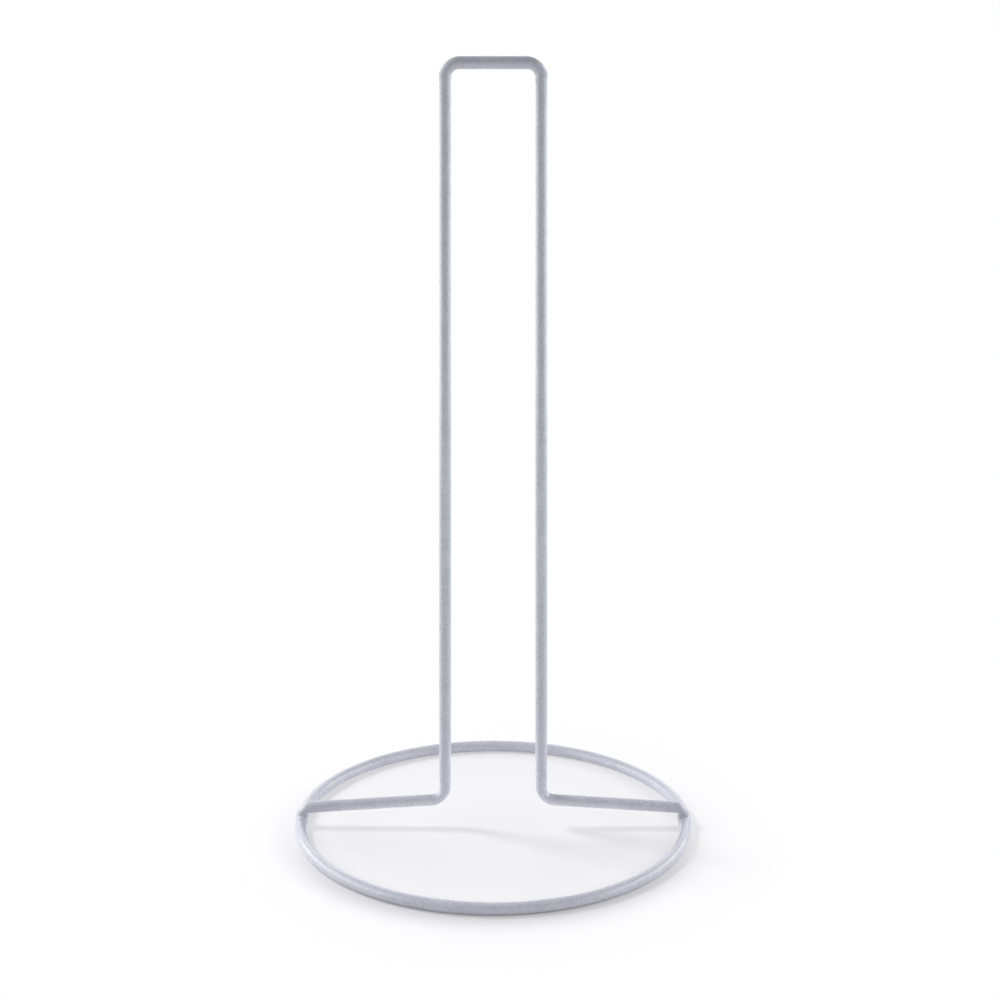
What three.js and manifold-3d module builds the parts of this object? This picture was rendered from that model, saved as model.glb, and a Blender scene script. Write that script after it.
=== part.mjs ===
// A free-standing paper towel holder made of one gauge of powder-coated round steel wire.
// A closed ring lies on the table. One upright wire crosses it: its tips are bent down and welded
// to the crown of the ring, its arms rise gently towards the middle, and its two legs stand close
// together and meet in a short bar at the top, which the core of the roll slides over.
//
// Millimetres, +Z up. The origin is on the table at the centre of the ring, X runs along the arms.
import * as THREE from "three";
import { mergeVertices } from "three/addons/utils/BufferGeometryUtils.js";
import Module from "manifold-3d";

const wasm = await Module();
wasm.setup();

// Driving dimensions.
const WIRE_D = 4.75; // over the coat
const RING_OUTER_D = 160;
const HEIGHT = 305.2; // table to the crown of the top bar
const LEG_CENTRES_AT_FOOT = 38.8;
const LEG_CENTRES_AT_TOP = 35.2;
const ARM_RISE = THREE.MathUtils.degToRad(3.7); // from the tip up to the foot of the leg
const TIP_INSET = 0.3; // tip inboard of the ring's centreline
const TIP_SINK = 0.8; // tip reaches below the ring's crown before it is coped
const TIP_SHANK = 0.2; // straight end of the tip, below its bend
const TIP_BEND_INSIDE_R = 1.5;
const FOOT_BEND_INSIDE_R = 3.2;
const TOP_BEND_INSIDE_R = 3;
const WELD_SPACE = 1.2; // between the ring and the coped end of a tip
const BEAD_PROUD = 0.7; // bead outside the wire, all round the tip
const BEAD_HALF_HEIGHT = 1.5;
const SEAM_LENGTH = 2; // butt weld, along the ring
const GAP = 0.3; // between a weld and the wires that it joins

// How finely the round shapes are faceted.
const SECTION_SIDES = 16;
const BEND_STEP = THREE.MathUtils.degToRad(12);
const RING_STEP = THREE.MathUtils.degToRad(5);
const STRAIGHT_STEP = 36;
const BEAD_SEGMENTS = 24;

// Sizes that follow from them.
const WIRE_R = WIRE_D / 2;
const RING_R = RING_OUTER_D / 2 - WIRE_R;
const TIP_X = RING_R - TIP_INSET;
const TIP_BEND_R = TIP_BEND_INSIDE_R + WIRE_R; // of the centreline, as the next two are
const FOOT_BEND_R = FOOT_BEND_INSIDE_R + WIRE_R;
const TOP_BEND_R = TOP_BEND_INSIDE_R + WIRE_R;
const BEAD_X = Math.min(TIP_X, RING_OUTER_D / 2 - WIRE_R - BEAD_PROUD); // no bead passes the ring's outside
const Z_AXIS = new THREE.Vector3(0, 0, 1);
const REAR = Math.PI / 2; // bearing of the ring's seam, counted from +X towards +Y

const COAT = { color: 0xb4b7c0, roughness: 0.42, metalness: 0 };

// The centreline of a wire: straight runs and round bends, end to end. Every run and bend is
// walked in whole steps, so a sweep has a section exactly where each one starts and ends.
class Centreline extends THREE.Curve {
  constructor(pieces) {
    super();
    this.pieces = pieces;
    this.steps = pieces.reduce((sum, piece) => sum + piece.steps, 0);
  }

  getUtoTmapping(u) {
    return u;
  }

  getPoint(t, target = new THREE.Vector3()) {
    let step = t * this.steps;
    let index = 0;
    while (index < this.pieces.length - 1 && step > this.pieces[index].steps) {
      step -= this.pieces[index].steps;
      index += 1;
    }
    const piece = this.pieces[index];
    return target.copy(piece.pointAt(step / piece.steps));
  }
}

function straightRun(from, to) {
  const steps = Math.ceil(from.distanceTo(to) / STRAIGHT_STEP);
  return { steps, pointAt: (share) => from.clone().lerp(to, share) };
}

function roundBend(from, centre, axis, angle, stepAngle) {
  const steps = Math.ceil(Math.abs(angle) / stepAngle);
  const spoke = from.clone().sub(centre);
  return { steps, pointAt: (share) => spoke.clone().applyAxisAngle(axis, angle * share).add(centre) };
}

// How far from its corner a bend starts.
function bendSetback(radius, turn) {
  return radius * Math.tan(turn / 2);
}

// Runs straight from corner to corner and rounds each inner corner to its own radius.
function bentCentreline(corners, radii) {
  const pieces = [];
  let start = corners[0];
  radii.forEach((radius, i) => {
    const corner = corners[i + 1];
    const back = corners[i].clone().sub(corner).normalize();
    const ahead = corners[i + 2].clone().sub(corner).normalize();
    const turn = Math.PI - back.angleTo(ahead);
    const setback = bendSetback(radius, turn);
    const bendStart = corner.clone().addScaledVector(back, setback);
    const centre = back.clone().add(ahead).setLength(radius / Math.cos(turn / 2)).add(corner);
    const axis = ahead.clone().cross(back).normalize();
    pieces.push(straightRun(start, bendStart));
    pieces.push(roundBend(bendStart, centre, axis, turn, BEND_STEP));
    start = corner.clone().addScaledVector(ahead, setback);
  });
  pieces.push(straightRun(start, corners.at(-1)));
  return new Centreline(pieces);
}

// A stretch of the ring's centreline, between two bearings.
function ringCentreline(startBearing, endBearing) {
  const centre = new THREE.Vector3(0, 0, WIRE_R);
  const start = new THREE.Vector3(RING_R, 0, 0).applyAxisAngle(Z_AXIS, startBearing).add(centre);
  return new Centreline([roundBend(start, centre, Z_AXIS, endBearing - startBearing, RING_STEP)]);
}

// The upright's centreline, from the left tip over the top bar to the right tip.
function uprightCentreline() {
  const footX = LEG_CENTRES_AT_FOOT / 2;
  const tipEndZ = WIRE_D - TIP_SINK;
  const tipCornerZ = tipEndZ + TIP_SHANK + bendSetback(TIP_BEND_R, Math.PI / 2 - ARM_RISE);
  const rightHalf = [
    [LEG_CENTRES_AT_TOP / 2, HEIGHT - WIRE_R],
    [footX, tipCornerZ + (TIP_X - footX) * Math.tan(ARM_RISE)],
    [TIP_X, tipCornerZ],
    [TIP_X, tipEndZ],
  ];
  const leftHalf = rightHalf.map(([x, z]) => [-x, z]).reverse();
  const corners = [...leftHalf, ...rightHalf].map(([x, z]) => new THREE.Vector3(x, 0, z));
  const radii = [TIP_BEND_R, FOOT_BEND_R, TOP_BEND_R];
  return bentCentreline(corners, [...radii, ...radii.toReversed()]);
}

// A round wire along a centreline. The section's flats touch the true circle, so one of them
// faces straight down wherever the wire lies level.
function wireGeometry(centreline, radius) {
  const cornerR = radius / Math.cos(Math.PI / SECTION_SIDES);
  const outline = [];
  for (let i = 0; i < SECTION_SIDES; i += 1) {
    const angle = ((i + 0.5) / SECTION_SIDES) * 2 * Math.PI;
    outline.push(new THREE.Vector2(cornerR, 0).rotateAround(new THREE.Vector2(), angle));
  }
  const options = { extrudePath: centreline, steps: centreline.steps, bevelEnabled: false };
  return new THREE.ExtrudeGeometry(new THREE.Shape(outline), options);
}

function solidFrom(geometry) {
  const bare = geometry.clone();
  bare.deleteAttribute("normal");
  bare.deleteAttribute("uv");
  const merged = mergeVertices(bare);
  const vertProperties = merged.attributes.position.array;
  const triVerts = new Uint32Array(merged.index.array);
  return new wasm.Manifold(new wasm.Mesh({ numProp: 3, vertProperties, triVerts }));
}

function geometryFrom(solid) {
  const mesh = solid.getMesh();
  const geometry = new THREE.BufferGeometry();
  geometry.setAttribute("position", new THREE.BufferAttribute(mesh.vertProperties, 3));
  geometry.setIndex(new THREE.BufferAttribute(mesh.triVerts, 1));
  geometry.computeVertexNormals();
  return geometry;
}

// The ring's wire grown by a clearance, which is cut out of whatever sits on the ring.
function ringKeepout(clearance) {
  return solidFrom(wireGeometry(ringLine, WIRE_R + clearance));
}

// The upright grown by a clearance. Its tips are coped to sit astride the ring, at the space that
// the weld fills less the same clearance.
function copedUpright(clearance) {
  const wire = solidFrom(wireGeometry(uprightCentreline(), WIRE_R + clearance));
  return wire.subtract(ringKeepout(WELD_SPACE - clearance));
}

// What is left of a cut solid once any loose sliver beside it is dropped.
function largestBody(solid) {
  return solid.decompose().reduce((best, body) => (body.volume() > best.volume() ? body : best));
}

// A flattened bead about the foot of a tip, hollowed for the tip above and the ring below.
function weldBead(beadX) {
  const bead = new THREE.SphereGeometry(1, BEAD_SEGMENTS, BEAD_SEGMENTS / 2);
  bead.rotateX(Math.PI / 2);
  bead.scale(WIRE_R + BEAD_PROUD, WIRE_R + BEAD_PROUD, BEAD_HALF_HEIGHT);
  bead.translate(beadX, 0, WIRE_D + WELD_SPACE / 2);
  const cut = solidFrom(bead).subtract(ringKeepout(GAP)).subtract(copedUpright(GAP));
  return geometryFrom(largestBody(cut));
}

const seamHalf = SEAM_LENGTH / 2 / RING_R;
const seamGap = GAP / RING_R;
const ringLine = ringCentreline(REAR + seamHalf + seamGap, REAR + 2 * Math.PI - seamHalf - seamGap);
const seamLine = ringCentreline(REAR - seamHalf, REAR + seamHalf);

const holder = new THREE.Group();

function addPiece(name, geometry) {
  const piece = new THREE.Mesh(geometry, new THREE.MeshStandardMaterial(COAT));
  piece.name = name;
  holder.add(piece);
}

addPiece("base_ring", wireGeometry(ringLine, WIRE_R));
addPiece("ring_butt_weld", wireGeometry(seamLine, WIRE_R));
addPiece("upright_wire", geometryFrom(copedUpright(0)));
addPiece("weld_left", weldBead(-BEAD_X));
addPiece("weld_right", weldBead(BEAD_X));

export default holder;
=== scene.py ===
"""The looks of a free-standing paper towel holder, bent and welded from one gauge of round steel
wire and powder coated a pale grey-white. Everything is in metres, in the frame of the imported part:
the table is z = 0, the ring's centre is the origin and the arms of the upright run along X."""
import math
import bpy
from mathutils import Matrix, Quaternion, Vector


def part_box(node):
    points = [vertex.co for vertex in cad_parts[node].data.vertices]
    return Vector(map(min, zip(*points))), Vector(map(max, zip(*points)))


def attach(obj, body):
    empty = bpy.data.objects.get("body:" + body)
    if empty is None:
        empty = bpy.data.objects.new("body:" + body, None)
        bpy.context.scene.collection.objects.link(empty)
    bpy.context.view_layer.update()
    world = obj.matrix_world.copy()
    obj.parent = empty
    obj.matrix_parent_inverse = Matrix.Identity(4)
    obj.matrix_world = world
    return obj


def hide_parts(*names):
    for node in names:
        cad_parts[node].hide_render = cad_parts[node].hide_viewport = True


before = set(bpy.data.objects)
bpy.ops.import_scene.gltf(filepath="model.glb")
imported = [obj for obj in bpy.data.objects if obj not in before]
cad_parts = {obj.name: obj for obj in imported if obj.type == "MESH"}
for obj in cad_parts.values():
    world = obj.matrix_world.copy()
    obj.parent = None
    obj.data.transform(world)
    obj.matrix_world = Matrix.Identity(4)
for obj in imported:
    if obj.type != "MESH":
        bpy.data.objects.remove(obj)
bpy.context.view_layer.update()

MM = 0.001
ring_low, ring_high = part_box("base_ring")
WIRE_R = (ring_high.z - ring_low.z) / 2
RING_R = (ring_high.x - ring_low.x) / 2 - WIRE_R
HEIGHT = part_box("upright_wire")[1].z
TIP_INSET = 0.3 * MM  # inboard of the ring's centreline
TIP_X = RING_R - TIP_INSET

# The upright, as the bender makes it. Each bend radius is the centreline's.
LEG_TOP_X = 35.2 * MM / 2
LEG_FOOT_X = 38.8 * MM / 2
ARM_RISE = math.radians(3.7)
TIP_SINK = 0.8 * MM
TIP_SHANK = 0.2 * MM
TIP_BEND_R = WIRE_R + 1.5 * MM
FOOT_BEND_R = WIRE_R + 3.2 * MM
TOP_BEND_R = WIRE_R + 3.0 * MM
TIP_SQUEEZE = 0.15  # wire lost across each bend, at its middle
FOOT_SQUEEZE = 0.12
TOP_SQUEEZE = 0.06
SPREAD = 0.3  # share of the squeeze that the wire gains sideways

# Welds.
SEAM_HALF = 1.5 * MM
SEAM_PROUD = 0.09 * MM
SEAM_LAP = 0.3 * MM  # how far the seam's sleeve covers each end of the ring
FILLET_HALF = 5.0 * MM
FILLET_PROUD = 0.25 * MM
COLLAR_PROUD = 0.35 * MM
SKIRT = 0.7 * MM
BEAD_X = TIP_X - 0.1 * MM  # a little inboard of the tip, so that no bead passes the ring's outside
BEAD_Z = 2 * WIRE_R - 1.1 * MM
BEAD_HALF_HEIGHT = 2.6 * MM
BEAD_VOXEL = 0.14 * MM
BEAD_SMOOTHING = 45
WELD_LUMP = 0.1 * MM
FEATHER = 0.05 * MM  # how far a fillet's thin ends dip under the wire's skin

SECTION_SIDES = 40
RING_STEPS = 180
BEND_STEPS = 16
LEG_CUTS = 24
ARM_CUTS = 6

Z_AXIS = Vector((0, 0, 1))


# Modelling by hand.

def clear_selection():
    if bpy.context.mode != "OBJECT":
        bpy.ops.object.mode_set(mode="OBJECT")
    bpy.ops.object.select_all(action="DESELECT")


def start_section(point, heading, radius, capped):
    """A round section of wire, square to its heading, left in edit mode with all of it selected."""
    clear_selection()
    turn = Z_AXIS.rotation_difference(heading).to_euler()
    fill = "NGON" if capped else "NOTHING"
    bpy.ops.mesh.primitive_circle_add(
        vertices=SECTION_SIDES, radius=radius, fill_type=fill, location=point, rotation=turn)
    bpy.ops.object.mode_set(mode="EDIT")


def extrude(offset):
    bpy.ops.mesh.extrude_region_move(TRANSFORM_OT_translate={"value": offset})


def draw_straight(start, end, cuts):
    for _ in range(cuts):
        extrude((end - start) / cuts)


def draw_bend(start, centre, axis, turn, shape, steps=BEND_STEPS):
    """Carries the selected end round a centre. shape gives the section's size across the bend and
    out of its plane, as shares of the size it started with, for each share of the turn."""
    step_turn = Quaternion(axis, turn / steps)
    spoke = start - centre
    across, out = shape(0)
    for step in range(1, steps + 1):
        extrude((0, 0, 0))
        letter = "XYZ"[max(range(3), key=lambda i: abs(axis[i]))]
        # Every axis lies along X, Y or Z. With no window the operator turns the other way.
        bpy.ops.transform.rotate(
            value=-turn / steps * sum(axis), orient_axis=letter, center_override=centre)
        spoke.rotate(step_turn)
        next_across, next_out = shape(step / steps)
        square = Matrix((spoke.normalized(), axis, axis.cross(spoke).normalized())).transposed()
        bpy.ops.transform.resize(
            value=(next_across / across, next_out / out, 1), orient_type="GLOBAL",
            orient_matrix=square, orient_matrix_type="GLOBAL", center_override=centre + spoke)
        across, out = next_across, next_out


def hump(share):
    """0 at both ends and 1 in the middle, leaving and reaching 0 gently."""
    return abs(math.sin(math.pi * share)) ** 1.5


def squeezed(squeeze):
    return lambda share: (1 - squeeze * hump(share), 1 + SPREAD * squeeze * hump(share))


def finish_piece(name, material, *nodes):
    """Closes the mesh, points its faces out, and lets it stand for its CAD nodes."""
    piece = bpy.context.object
    bpy.ops.object.mode_set(mode="EDIT")
    bpy.ops.mesh.select_all(action="SELECT")
    bpy.ops.mesh.remove_doubles(threshold=0.001 * MM)
    bpy.ops.mesh.normals_make_consistent(inside=False)
    bpy.ops.object.mode_set(mode="OBJECT")
    piece.select_set(True)
    bpy.ops.object.transform_apply(location=True, rotation=True, scale=True)
    bpy.ops.object.shade_smooth_by_angle(angle=math.radians(50))
    piece.name = name
    piece.data.name = name
    piece.data.materials.clear()
    piece.data.materials.append(material)
    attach(piece, "root")
    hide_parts(*nodes)


def apply_modifier(kind, **settings):
    piece = bpy.context.object
    modifier = piece.modifiers.new(kind.title(), kind)
    for setting, value in settings.items():
        setattr(modifier, setting, value)
    bpy.ops.object.modifier_apply(modifier=modifier.name)


# Node trees, written as sums.

class Signal:
    """A socket of a node tree. Arithmetic on it adds Math nodes."""

    def __init__(self, nodes, socket):
        self.nodes = nodes
        self.socket = socket

    def math(self, operation, *values):
        return self.nodes.add("ShaderNodeMath", {"operation": operation}, *values)[0]

    def __add__(self, other):
        return self.math("ADD", self, other)

    def __radd__(self, other):
        return self.math("ADD", other, self)

    def __sub__(self, other):
        return self.math("SUBTRACT", self, other)

    def __rsub__(self, other):
        return self.math("SUBTRACT", other, self)

    def __mul__(self, other):
        return self.math("MULTIPLY", self, other)

    def __rmul__(self, other):
        return self.math("MULTIPLY", other, self)

    def __abs__(self):
        return self.math("ABSOLUTE", self)

    def ramp(self, low, high):
        """0 up to low, 1 from high on, and smooth between them."""
        settings = {"interpolation_type": "SMOOTHSTEP"}
        return self.nodes.add("ShaderNodeMapRange", settings, self, low, high)[0]


class Nodes:
    """A material's or a world's node tree, emptied."""

    def __init__(self, owner):
        owner.use_nodes = True
        self.tree = owner.node_tree
        self.tree.nodes.clear()

    def add(self, kind, settings=None, *values, **named):
        """Adds a node, sets it, and feeds its sockets in order or by name. Returns its outputs."""
        node = self.tree.nodes.new(kind)
        for setting, value in (settings or {}).items():
            setattr(node, setting, value)
        sockets = list(zip(node.inputs, values))
        sockets += [(node.inputs[name.replace("_", " ")], value) for name, value in named.items()]
        for socket, value in sockets:
            if isinstance(value, Signal):
                self.tree.links.new(value.socket, socket)
            elif value is not None:
                socket.default_value = value
        return [Signal(self, output) for output in node.outputs]

    def noise(self, place, size, detail=2.0, roughness=0.5):
        """Noise about 0, whose lumps are about size across."""
        lumps = self.add("ShaderNodeTexNoise", None, Vector=place, Scale=1 / size,
                         Detail=detail, Roughness=roughness)[0]
        return lumps - 0.5

    def blend(self, share, color, other):
        """From one colour to the other as share goes from 0 to 1."""
        unused = [None] * 5
        return self.add("ShaderNodeMix", {"data_type": "RGBA"}, share, *unused, color, other)[2]


# Materials.

COAT = (0.492, 0.508, 0.560, 1)
COAT_THIN = (0.385, 0.403, 0.458, 1)
COAT_IOR = 1.5
COAT_ROUGHNESS = 0.2
PEEL_ACROSS = 1.4 * MM
GRAIN_ACROSS = 0.8 * MM
DRIFT_ACROSS = 9 * MM
LUMPS_ACROSS = 1.6 * MM
PINHOLE_SPACING = 2.4 * MM
PEEL_HEIGHT = 0.035 * MM
GRAIN_HEIGHT = 0.008 * MM
PINHOLE_DEPTH = 0.02 * MM
WELD_LUMP_HEIGHT = 0.05 * MM

FLOOR_TONE = (0.42, 0.415, 0.435, 1)
FLOOR_SHINE = (1, 0.99, 1, 1)
FLOOR_GLOW = 0.41
INSIDE_GLOW = 0.32  # more glow inside the ring, for the light that reaches the object
INSIDE_SEEN = 0.4  # and what is taken off again where the floor itself is seen
CONTACT_SHADE = 0.5
AROUND_SHADE = 0.3
BLACK = (0, 0, 0, 1)


def powder_coat(name, lump_height):
    """Pale grey-white polyester powder over steel. It has a fine orange peel, a faint mottle where
    the powder lies thicker or thinner, sparse pinholes, and lumps where it covers a weld."""
    material = bpy.data.materials.new(name)
    nodes = Nodes(material)
    place = nodes.add("ShaderNodeTexCoord")[3]
    peel = nodes.noise(place, PEEL_ACROSS, detail=1)
    grain = nodes.noise(place, GRAIN_ACROSS, detail=1)
    drift = nodes.noise(place, DRIFT_ACROSS, detail=2)
    lumps = nodes.noise(place, LUMPS_ACROSS, detail=2)
    cell = nodes.add("ShaderNodeTexVoronoi", {"feature": "F1"}, Vector=place,
                     Scale=1 / PINHOLE_SPACING)[0]
    pinhole = 1 - cell.ramp(0.03, 0.09)

    thin = (0.45 + 1.0 * peel + 0.8 * drift + 1.6 * grain).ramp(0.1, 0.9)
    thin = thin * 0.7 + pinhole * 0.5
    color = nodes.blend(thin, COAT, COAT_THIN)

    height = peel * PEEL_HEIGHT + grain * GRAIN_HEIGHT - pinhole * PINHOLE_DEPTH + lumps * lump_height
    normal = nodes.add("ShaderNodeBump", None, Strength=1, Distance=1, Height=height)[0]
    rough = COAT_ROUGHNESS + 0.08 * drift + 0.06 * grain
    shader = nodes.add("ShaderNodeBsdfPrincipled", None, Base_Color=color, Roughness=rough,
                       Normal=normal, IOR=COAT_IOR)[0]
    nodes.add("ShaderNodeOutputMaterial", None, Surface=shader)
    return material


def table_white():
    """A white table top that glows a little and fades out round the object. A soft shade is painted
    into its glow along the front of the ring, and inside the ring the glow is stronger where it
    lights the object than where it is seen. It is staging, and none of it is on the object."""
    material = bpy.data.materials.new("table_white")
    nodes = Nodes(material)
    place = nodes.add("ShaderNodeTexCoord")[3]
    reach = nodes.add("ShaderNodeVectorMath", {"operation": "LENGTH"}, place)[1]
    y = nodes.add("ShaderNodeSeparateXYZ", None, place)[1]
    from_wire = abs(reach - RING_R)
    contact = 1 - from_wire.ramp(0.3 * MM, 2.4 * MM)
    around = 1 - from_wire.ramp(2 * MM, 18 * MM)
    shade = 1 - (CONTACT_SHADE * contact + AROUND_SHADE * around) * (-1 * y).ramp(0, RING_R)
    inside = 1 - reach.ramp(55 * MM, 75 * MM)
    seen = nodes.add("ShaderNodeLightPath")[0]
    glow = (FLOOR_GLOW + inside * (INSIDE_GLOW - INSIDE_SEEN * seen)) * shade
    shine = nodes.blend(glow, BLACK, FLOOR_SHINE)
    top = nodes.add("ShaderNodeBsdfPrincipled", None, Base_Color=FLOOR_TONE, Roughness=0.5,
                    Emission_Color=shine, Emission_Strength=1)[0]
    clear = nodes.add("ShaderNodeBsdfTransparent")[0]
    fade = reach.ramp(FLOOR_SOLID_R, FLOOR_R)
    shader = nodes.add("ShaderNodeMixShader", None, fade, top, clear)[0]
    nodes.add("ShaderNodeOutputMaterial", None, Surface=shader)
    return material


# The upright.

def upright_corners():
    """The corners of the right half's centreline, from the middle of the top bar to the tip."""
    tip_end = 2 * WIRE_R - TIP_SINK
    tip_corner = tip_end + TIP_SHANK + TIP_BEND_R * math.tan((math.pi / 2 - ARM_RISE) / 2)
    foot = tip_corner + (TIP_X - LEG_FOOT_X) * math.tan(ARM_RISE)
    top = HEIGHT - WIRE_R
    outline = [(0, top), (LEG_TOP_X, top), (LEG_FOOT_X, foot), (TIP_X, tip_corner), (TIP_X, tip_end)]
    return [Vector((x, 0, z)) for x, z in outline]


def bend_at(corner, before, after, radius):
    """Where a bend starts and ends, its centre, its axis and its turn."""
    come = (corner - before).normalized()
    go = (after - corner).normalized()
    turn = come.angle(go)
    axis = come.cross(go).normalized()
    start = corner - come * radius * math.tan(turn / 2)
    end = corner + go * radius * math.tan(turn / 2)
    return start, end, start + axis.cross(come) * radius, axis, turn


def make_upright(material):
    corners = upright_corners()
    radii = (TOP_BEND_R, FOOT_BEND_R, TIP_BEND_R)
    squeezes = (TOP_SQUEEZE, FOOT_SQUEEZE, TIP_SQUEEZE)
    cuts = (2, LEG_CUTS, ARM_CUTS)
    point = corners[0]
    start_section(point, Vector((1, 0, 0)), WIRE_R, capped=False)
    for i, radius in enumerate(radii):
        start, end, centre, axis, turn = bend_at(corners[i + 1], corners[i], corners[i + 2], radius)
        draw_straight(point, start, cuts[i])
        draw_bend(start, centre, axis, turn, squeezed(squeezes[i]))
        point = end
    draw_straight(point, corners[-1], 2)
    bpy.ops.mesh.edge_face_add()
    bpy.ops.object.mode_set(mode="OBJECT")
    bpy.ops.object.transform_apply(location=True, rotation=True, scale=True)
    apply_modifier("MIRROR", use_axis=(True, False, False), merge_threshold=0.01 * MM)
    finish_piece("upright", material, "upright_wire")


# The ring and its seam.

def on_ring(bearing):
    return Vector((RING_R * math.cos(bearing), RING_R * math.sin(bearing), WIRE_R))


def make_ring(material):
    """Rolled wire, from one side of the seam round to the other."""
    half = (SEAM_HALF - SEAM_LAP) / RING_R
    bearing = math.pi / 2 - half  # the spin goes clockwise
    start_section(on_ring(bearing), Z_AXIS.cross(on_ring(bearing)).normalized(), WIRE_R, capped=True)
    bpy.ops.mesh.spin(steps=RING_STEPS, angle=2 * (math.pi - half), center=(0, 0, 0), axis=Z_AXIS)
    finish_piece("ring", material, "base_ring")


def ring_sleeve(bearing, half_length, proud, steps):
    """A sleeve along the ring that swells from just under the wire's skin to stand proud of it on
    the top and the inside. Below and outside it stays flush, so that the ring still lies flat."""
    half = half_length / RING_R
    inward = -Vector((math.cos(bearing), math.sin(bearing), 0))
    shift = (inward + Z_AXIS) * proud
    start = on_ring(bearing - half)
    end_r = WIRE_R - FEATHER
    swell = (proud + FEATHER) / end_r
    start_section(start + shift, Z_AXIS.cross(start).normalized(), end_r, capped=True)
    draw_bend(start + shift, Vector((0, 0, WIRE_R)) + shift, Z_AXIS, 2 * half,
              lambda share: (1 + swell * hump(share),) * 2, steps)
    bpy.ops.object.mode_set(mode="OBJECT")


def make_seam(material):
    ring_sleeve(math.pi / 2, SEAM_HALF, SEAM_PROUD, 12)
    finish_piece("ring_seam", material, "ring_butt_weld")


def make_weld(name, side, material):
    """A small fillet all round the foot of a tip, drawn out along the ring and up the wire."""
    bearing = 0 if side > 0 else math.pi
    ring_sleeve(bearing, FILLET_HALF, FILLET_PROUD, BEND_STEPS)
    sleeve = bpy.context.object

    clear_selection()
    bpy.ops.mesh.primitive_uv_sphere_add(
        segments=32, ring_count=16, radius=1, location=(side * BEAD_X, 0, BEAD_Z),
        scale=(WIRE_R + COLLAR_PROUD, WIRE_R + SKIRT, BEAD_HALF_HEIGHT))
    bead = bpy.context.object
    bpy.ops.object.mode_set(mode="EDIT")
    bpy.ops.transform.vertex_random(offset=WELD_LUMP, uniform=0.4, normal=0.6, seed=3)
    bpy.ops.object.mode_set(mode="OBJECT")
    sleeve.select_set(True)
    bpy.ops.object.join()
    bpy.ops.object.transform_apply(location=True, rotation=True, scale=True)
    apply_modifier("REMESH", mode="VOXEL", voxel_size=BEAD_VOXEL)
    apply_modifier("SMOOTH", factor=0.5, iterations=BEAD_SMOOTHING)
    finish_piece(name, material, name)


# The studio.

CAMERA_BACK = 761.28 * MM
CAMERA_UP = 350.18 * MM
CAMERA_TILT = math.radians(15.6657)
CAMERA_LENS = 73.505
CAMERA_SHIFT = (0.0068, 0.0005)
FLOOR_SOLID_R = 80 * MM
FLOOR_R = 130 * MM
KEY_SIZE = (0.45,)
KEY_WATTS = 20.0
KEY_AWAY = 2.0
KEY_TOWARDS = (-1, 0.42, 1.15)
SIDE_SIZE = (0.7, 0.24)  # width and height, as the next
FRONT_SIZE = (0.5, 0.08)
SIDE_WATTS = 1.0
FRONT_WATTS = 0.15
SIDE_AWAY = 0.42
ROOM_TINT = (0.985, 0.99, 1, 1)
ROOM_DIM = 0.18  # in front of the table
WALLS = 1.62  # added at the sides and the back
RIGHT_WALL = 0.4  # added again at the right
CEILING_LOSS = 0.9
TABLE_EDGE_LOSS = 0.9
TABLE_BOUNCE = 0.8


def make_camera():
    camera = bpy.data.cameras.new("camera")
    camera.lens = CAMERA_LENS
    camera.sensor_width = 36
    camera.shift_x = CAMERA_SHIFT[0]
    camera.shift_y = CAMERA_SHIFT[1]
    camera.clip_start = 0.01
    camera.clip_end = 20
    holder = bpy.data.objects.new("camera", camera)
    holder.location = (0, -CAMERA_BACK, CAMERA_UP)
    holder.rotation_euler = (math.pi / 2 - CAMERA_TILT, 0, 0)
    bpy.context.scene.collection.objects.link(holder)
    bpy.context.scene.camera = holder


def make_floor():
    clear_selection()
    bpy.ops.mesh.primitive_circle_add(vertices=96, radius=FLOOR_R, fill_type="NGON")
    floor = bpy.context.object
    floor.name = "floor"
    floor.data.materials.append(table_white())


def make_lamp(name, shape, size, energy, place, towards):
    light = bpy.data.lights.new(name, "AREA")
    light.shape = shape
    light.size = size[0]
    light.size_y = size[-1]
    light.energy = energy
    holder = bpy.data.objects.new(name, light)
    holder.location = place
    holder.rotation_euler = towards.to_track_quat("Z", "Y").to_euler()
    holder.visible_camera = False
    bpy.context.scene.collection.objects.link(holder)
    return holder


def make_key():
    """One soft lamp, behind the object to its left and above. The coat reflects the walls, not it."""
    towards = Vector(KEY_TOWARDS).normalized()
    key = make_lamp("key", "DISK", KEY_SIZE, KEY_WATTS, towards * KEY_AWAY, towards)
    key.visible_glossy = False


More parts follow.
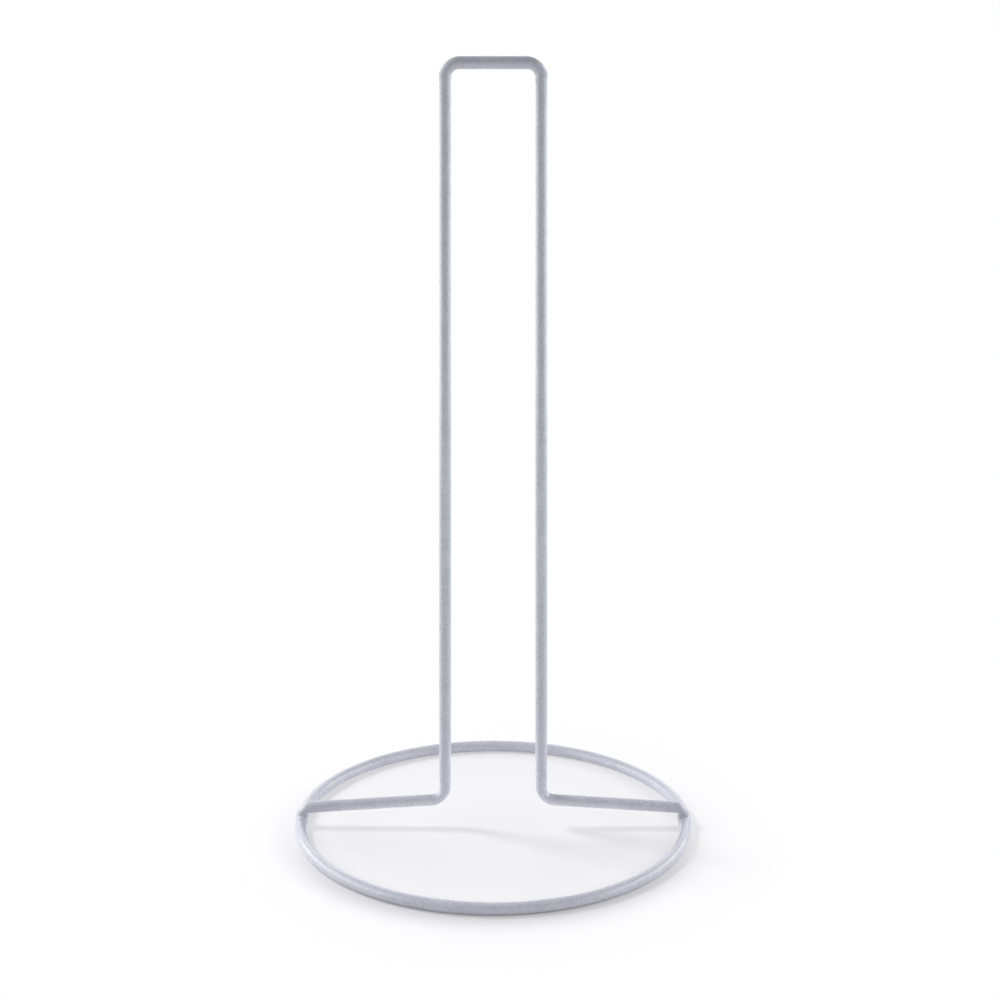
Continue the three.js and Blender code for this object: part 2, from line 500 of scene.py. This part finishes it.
def make_panels():
    """Three low white panels, one at each side of the table and one in front."""
    for name, side in (("panel_left", -1), ("panel_right", 1)):
        towards = Vector((side, 0, 0.25)).normalized()
        place = Vector((side * SIDE_AWAY, 0.05, 0.17))
        make_lamp(name, "RECTANGLE", SIDE_SIZE, SIDE_WATTS, place, towards)
    place = Vector((0, -0.3, 0.04))
    make_lamp("panel_front", "RECTANGLE", FRONT_SIZE, FRONT_WATTS, place, Vector((0, -1, 0)))


def make_world():
    """White walls at the sides and the back, a dim room in front of the table and a dark band at
    the height of its edge. All that is seen past the object is a plain white backdrop."""
    world = bpy.data.worlds.new("studio")
    bpy.context.scene.world = world
    nodes = Nodes(world)
    direction = nodes.add("ShaderNodeTexCoord")[0]
    x, y, z = nodes.add("ShaderNodeSeparateXYZ", None, direction)
    walls = ROOM_DIM + WALLS * y.ramp(-0.95, -0.1) + RIGHT_WALL * x.ramp(0, 0.9)
    ceiling = 1 - CEILING_LOSS * z.ramp(0.3, 0.9)
    table_edge = 1 - abs(z - 0.06).ramp(0.06, 0.1)
    below = (-1 * z).ramp(0, 0.4)
    room = walls * ceiling * (1 - TABLE_EDGE_LOSS * table_edge)
    light = room * (1 - below) + TABLE_BOUNCE * below
    lit = nodes.add("ShaderNodeBackground", None, Color=ROOM_TINT, Strength=light)[0]
    backdrop = nodes.add("ShaderNodeBackground", None, Color=(1, 1, 1, 1), Strength=1.0)[0]
    seen = nodes.add("ShaderNodeLightPath")[0]
    shader = nodes.add("ShaderNodeMixShader", None, seen, lit, backdrop)[0]
    nodes.add("ShaderNodeOutputWorld", None, Surface=shader)


wire_coat = powder_coat("powder_coat_wire", 0)
weld_coat = powder_coat("powder_coat_weld", WELD_LUMP_HEIGHT)
make_upright(wire_coat)
make_ring(wire_coat)
make_seam(weld_coat)
make_weld("weld_left", -1, weld_coat)
make_weld("weld_right", 1, weld_coat)

make_camera()
make_floor()
make_key()
make_panels()
make_world()
bpy.context.scene.view_settings.view_transform = "Standard"
